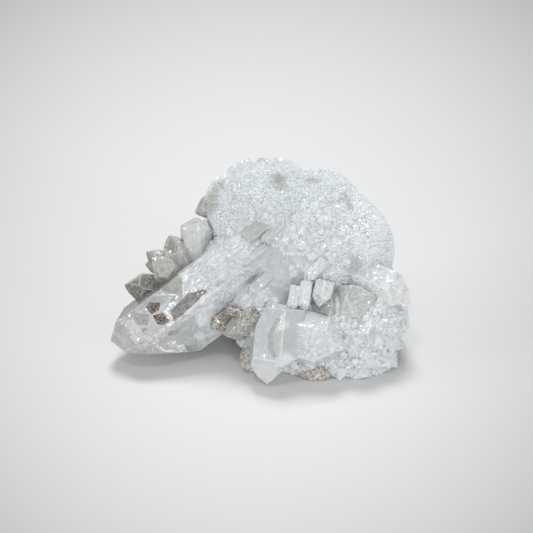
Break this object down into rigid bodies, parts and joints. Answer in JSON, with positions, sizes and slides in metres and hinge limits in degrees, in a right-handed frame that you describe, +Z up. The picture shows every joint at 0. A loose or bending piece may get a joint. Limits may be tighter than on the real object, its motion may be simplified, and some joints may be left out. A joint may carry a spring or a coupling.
{
  "type": "druzy quartz cluster",
  "caption": "Intergrown quartz specimen: a domed mass of fine druse with a large clear point at one side and blocky crystals at its foot, on a flat break.",
  "frame": {"origin": "on the surface that the cluster rests on, under the middle of its box", "axes": "+X to the right along the cluster's length, away from the clear point; +Y to the far side; +Z up"},
  "size_m": [0.0898, 0.0575, 0.0579],
  "materials": {
    "quartz": "polished"
  },
  "bodies": {
    "root": {"quartz_cluster": "quartz"}
  },
  "joints": []
}
